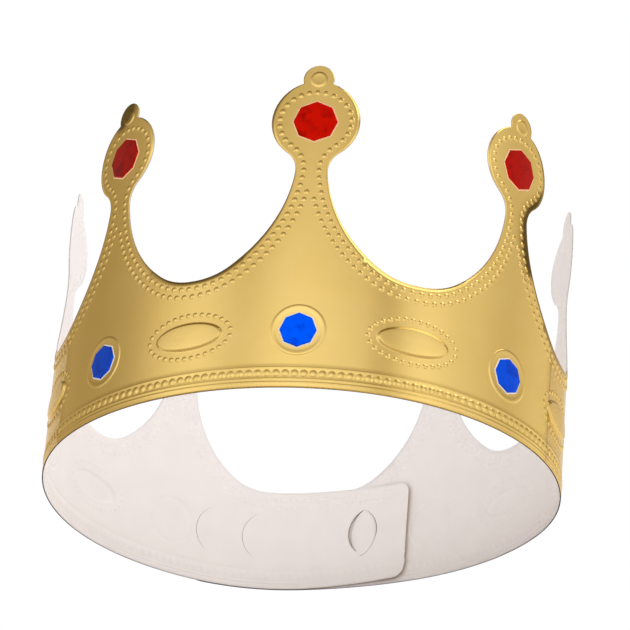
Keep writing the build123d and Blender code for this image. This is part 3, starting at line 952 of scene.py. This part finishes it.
# Tinted foil of a gem sticker: coloured lacquer over metal film, with cloudy darker patches.
def gemMaterial(name):
    colour, deep = gems[name]
    start, end = gems["cloudEdge"]
    material, tree = newMaterial(name)
    spot = addNode(tree, "ShaderNodeTexCoord").outputs["Object"]
    cloud = addNode(tree, "ShaderNodeTexNoise", {
        "Vector": spot, "Scale": 1000 / gems["cloud"], "Detail": 3.0, "Distortion": 0.6,
    })
    patch = addNode(tree, "ShaderNodeMapRange", {
        "Value": cloud, "From Min": start, "From Max": end, "To Min": 0.0, "To Max": 1.0,
    }, interpolation_type="SMOOTHSTEP")
    tone = addNode(tree, "ShaderNodeMix", {
        "Factor": patch, "A": linear(colour), "B": linear(deep),
    }, data_type="RGBA")
    bump = addNode(tree, "ShaderNodeBump", {"Strength": 0.2, "Distance": gems["cloudDepth"] / 1000, "Height": cloud})
    shader = addNode(tree, "ShaderNodeBsdfPrincipled", {
        "Base Color": tone.outputs["Result"], "Metallic": 1.0, "Roughness": gems["roughness"], "Normal": bump,
    })
    addNode(tree, "ShaderNodeOutputMaterial", {"Surface": shader})
    return material


goldFoil = foilMaterial()
whiteCard, cutEdge, paintedSlitShadow, redGlowRim, blueGlowRim = [cardMaterial(name) for name in cards]
redFoil, blueFoil = gemMaterial("redTintedFoil"), gemMaterial("blueTintedFoil")
print("materials made")

sheetPiece = weaveStrip().mesh("foil_card_strip")
for material in (goldFoil, whiteCard, cutEdge):
    sheetPiece.data.materials.append(material)
solidify = sheetPiece.modifiers.new("cardThickness", "SOLIDIFY")
solidify.thickness = band["thickness"] / 1000
solidify.offset = -1
solidify.material_offset = 1
solidify.material_offset_rim = 2
print("strip woven,", len(sheetPiece.data.polygons), "faces on one side")

place, height, radius = allDots()
outerDots = domes("pressed_dots", place, height, radius, dots["rise"], 12, (1.0, 0.85, 0.6, 0.3))
innerDots = domes(
    "dot_marks_inside", place, height, radius, dots["riseInside"], 8, (1.0, 0.5), -band["thickness"], False
)
finialButtons = buttons()
redRims = gemRims("red_gem_rims", rims["redRadius"], outline["headHeight"] - rims["redDrop"])
blueRims = gemRims("blue_gem_rims", rims["blueRadius"], relief["gemLine"])
cuts = paintedCutShadows()
print(len(place), "dots pressed")

for piece, material in (
    (sheetPiece, None), (outerDots, goldFoil), (innerDots, whiteCard), (finialButtons, goldFoil),
    (redRims, redGlowRim), (blueRims, blueGlowRim), (cuts, paintedSlitShadow),
):
    if material:
        piece.data.materials.append(material)
    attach(piece, "root")
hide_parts("crown_band")

for name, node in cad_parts.items():
    if "gem" in name:
        for slot in node.material_slots:
            slot.material = redFoil if name.startswith("red") else blueFoil

studio = {
    "floorColour": "#F7F6F5",
    "floorSize": 6.0,
    "dimTint": "#FFF2DE",
    "brightTint": "#F9FAFF",
    "tintRange": (0.4, 1.1),       # levels between which the tint changes over
    # elevation in degrees, level
    "levels": (
        (0, 1.25), (23, 1.13), (26, 1.03), (30, 0.88), (34, 0.76), (42, 0.60), (60, 0.44), (74, 0.2), (90, 0.12),
    ),
    "backdrop": (188, 11, 1.06),   # azimuth, width and level behind the crown
    "backdropGain": 1.8,           # how flat the middle of the backdrop is
    # azimuth, elevation, width and depth of dark flags high behind the crown
    "flags": ((152, 50, 15, 0.97), (-146, 48, 11, 0.95)),
    # azimuth from the front towards +X, width and amount of each soft panel
    "panels": (
        (-124, 12, -0.41), (-102, 12, -0.40), (-82, 10, -0.32), (-50, 9, 0.20), (-33, 7, -0.20), (-10, 14, 0.26),
        (31, 5, -0.42), (49, 9, 0.27), (68, 9, -0.05), (99, 12, -0.25), (136, 6, 0.16),
    ),
    # azimuth, elevation, distance, side and power of each lamp
    "lamps": {
        "rightTopPanel": (80, 60, 1.6, 0.9, 5.5),
        "backTopPanel": (178, 62, 1.7, 1.0, 14.0),
    },
}


# A floor that is there only from above, so that a camera below it sees the crown.
def makeFloor():
    size = studio["floorSize"]
    points = np.array([(-size, -size, 0), (size, -size, 0), (size, size, 0), (-size, size, 0)], float)
    floor = meshObject("floor", points, np.arange(4), np.array([4]))
    material, tree = newMaterial("matteWhiteFloor")
    under = addNode(tree, "ShaderNodeNewGeometry")
    matte = addNode(tree, "ShaderNodeBsdfDiffuse", {"Color": linear(studio["floorColour"])})
    clear = addNode(tree, "ShaderNodeBsdfTransparent")
    mixed = addNode(tree, "ShaderNodeMixShader", {0: under.outputs["Backfacing"], 1: matte, 2: clear})
    addNode(tree, "ShaderNodeOutputMaterial", {"Surface": mixed})
    floor.data.materials.append(material)


# The air of the studio by direction: a bright low band that fades upwards, and soft panels and flags in it.
# Each adds amount * exp((cos turn - 1) / width^2), with turn the angle to its azimuth.
def makeWorld():
    world = bpy.data.worlds.new("studioAir")
    bpy.context.scene.world = world
    world.use_nodes = True
    tree = world.node_tree
    tree.nodes.clear()
    way = addNode(tree, "ShaderNodeTexCoord").outputs["Generated"]
    split = addNode(tree, "ShaderNodeSeparateXYZ", {"Vector": way})
    level = addNode(tree, "ShaderNodeFloatCurve", {"Value": split.outputs["Z"]})
    curve = level.mapping.curves[0]
    spots = [(np.sin(np.radians(elevation)), strength / 2) for elevation, strength in studio["levels"]]
    curve.points[0].location = spots[0]
    curve.points[1].location = spots[-1]
    for spot in spots[1:-1]:
        curve.points.new(*spot)
    level.mapping.update()
    flat = addNode(tree, "ShaderNodeVectorMath", {0: way, 1: (1, 1, 0)}, operation="MULTIPLY")
    flat = addNode(tree, "ShaderNodeVectorMath", {0: flat}, operation="NORMALIZE").outputs["Vector"]

    def bell(direction, azimuth, elevation, width):
        a, e, w = np.radians([azimuth, elevation, width])
        axis = (np.sin(a) * np.cos(e), -np.cos(a) * np.cos(e), np.sin(e))
        turn = addNode(tree, "ShaderNodeVectorMath", {0: direction, 1: axis}, operation="DOT_PRODUCT")
        fall = addNode(tree, "ShaderNodeMath", {
            0: turn.outputs["Value"], 1: 1 / w ** 2, 2: -1 / w ** 2,
        }, operation="MULTIPLY_ADD")
        return addNode(tree, "ShaderNodeMath", {0: fall}, operation="EXPONENT")

    total = 1.0
    for azimuth, width, amount in studio["panels"]:
        panel = bell(flat, azimuth, 0, width)
        total = addNode(tree, "ShaderNodeMath", {0: panel, 1: amount, 2: total}, operation="MULTIPLY_ADD")
    air = addNode(tree, "ShaderNodeMath", {0: level, 1: 2.0}, operation="MULTIPLY")
    air = addNode(tree, "ShaderNodeMath", {0: air, 1: total}, operation="MULTIPLY")
    for azimuth, elevation, width, depth in studio["flags"]:
        flag = bell(way, azimuth, elevation, width)
        flag = addNode(tree, "ShaderNodeMath", {0: flag, 1: -depth, 2: 1.0}, operation="MULTIPLY_ADD")
        air = addNode(tree, "ShaderNodeMath", {0: air, 1: flag}, operation="MULTIPLY")
    azimuth, width, white = studio["backdrop"]
    share = bell(flat, azimuth, 0, width)
    share = addNode(tree, "ShaderNodeMath", {0: share, 1: studio["backdropGain"]}, operation="MULTIPLY")
    share = addNode(tree, "ShaderNodeMath", {0: share, 1: 1.0}, operation="MINIMUM")
    strength = addNode(tree, "ShaderNodeMix", {"Factor": share, "A": air, "B": white}).outputs["Result"]
    start, end = studio["tintRange"]
    cool = addNode(tree, "ShaderNodeMapRange", {
        "Value": strength, "From Min": start, "From Max": end, "To Min": 0.0, "To Max": 1.0,
    })
    tint = addNode(tree, "ShaderNodeMix", {
        "Factor": cool, "A": linear(studio["dimTint"]), "B": linear(studio["brightTint"]),
    }, data_type="RGBA")
    glow = addNode(tree, "ShaderNodeBackground", {"Color": tint.outputs["Result"], "Strength": strength})
    addNode(tree, "ShaderNodeOutputWorld", {"Surface": glow})


# A soft square panel on a sphere round the crown, facing its middle:
# spot = middle + distance * (sin azimuth cos rise, -cos azimuth cos rise, sin rise).
def softPanel(name):
    azimuth, elevation, distance, side, power = studio["lamps"][name]
    light = bpy.data.lights.new(name, "AREA")
    light.shape = "RECTANGLE"
    light.size, light.size_y = side, side
    light.energy = power
    thing = bpy.data.objects.new(name, light)
    bpy.context.scene.collection.objects.link(thing)
    a, e = np.radians(azimuth), np.radians(elevation)
    away = np.array([np.sin(a) * np.cos(e), -np.cos(a) * np.cos(e), np.sin(e)])
    right = np.array([np.cos(a), np.sin(a), 0])
    turn = np.eye(4)
    turn[:3, 0], turn[:3, 1], turn[:3, 2] = right, np.cross(away, right), away
    turn[:3, 3] = away * distance + np.array([0, 0, 0.06])
    thing.matrix_world = Matrix(turn.tolist())


makeFloor()
makeWorld()
for name in studio["lamps"]:
    softPanel(name)

view = {
    "azimuth": 8.076,
    "rise": 25.559,         # the camera looks up at the crown
    "roll": 4.716,
    "distance": 1.35896,
    "side": 0.000082,
    "aim": 0.072204,
    "lens": 3688.776 / 630 * 36,
}


# The camera lies at target - distance * ahead, with ahead = (-sin a cos e, cos a cos e, sin e), and is rolled
# about that line.
def makeCamera():
    a, e, r = (np.radians(view[k]) for k in ("azimuth", "rise", "roll"))
    ahead = np.array([-np.sin(a) * np.cos(e), np.cos(a) * np.cos(e), np.sin(e)])
    right = np.array([np.cos(a), np.sin(a), 0])
    up = np.cross(right, ahead)
    target = view["side"] * right + np.array([0, 0, view["aim"]])
    right, up = np.cos(r) * right + np.sin(r) * up, -np.sin(r) * right + np.cos(r) * up
    pose = np.eye(4)
    pose[:3, 0], pose[:3, 1], pose[:3, 2] = right, up, -ahead
    pose[:3, 3] = target - view["distance"] * ahead
    data = bpy.data.cameras.new("photoCamera")
    data.lens = view["lens"]
    data.sensor_width = 36
    data.clip_start = 0.01
    data.clip_end = 50
    camera = bpy.data.objects.new("photoCamera", data)
    bpy.context.scene.collection.objects.link(camera)
    camera.matrix_world = Matrix(pose.tolist())
    bpy.context.scene.camera = camera


makeCamera()
bpy.context.scene.view_settings.view_transform = "Standard"
print("stage, lights and camera set")
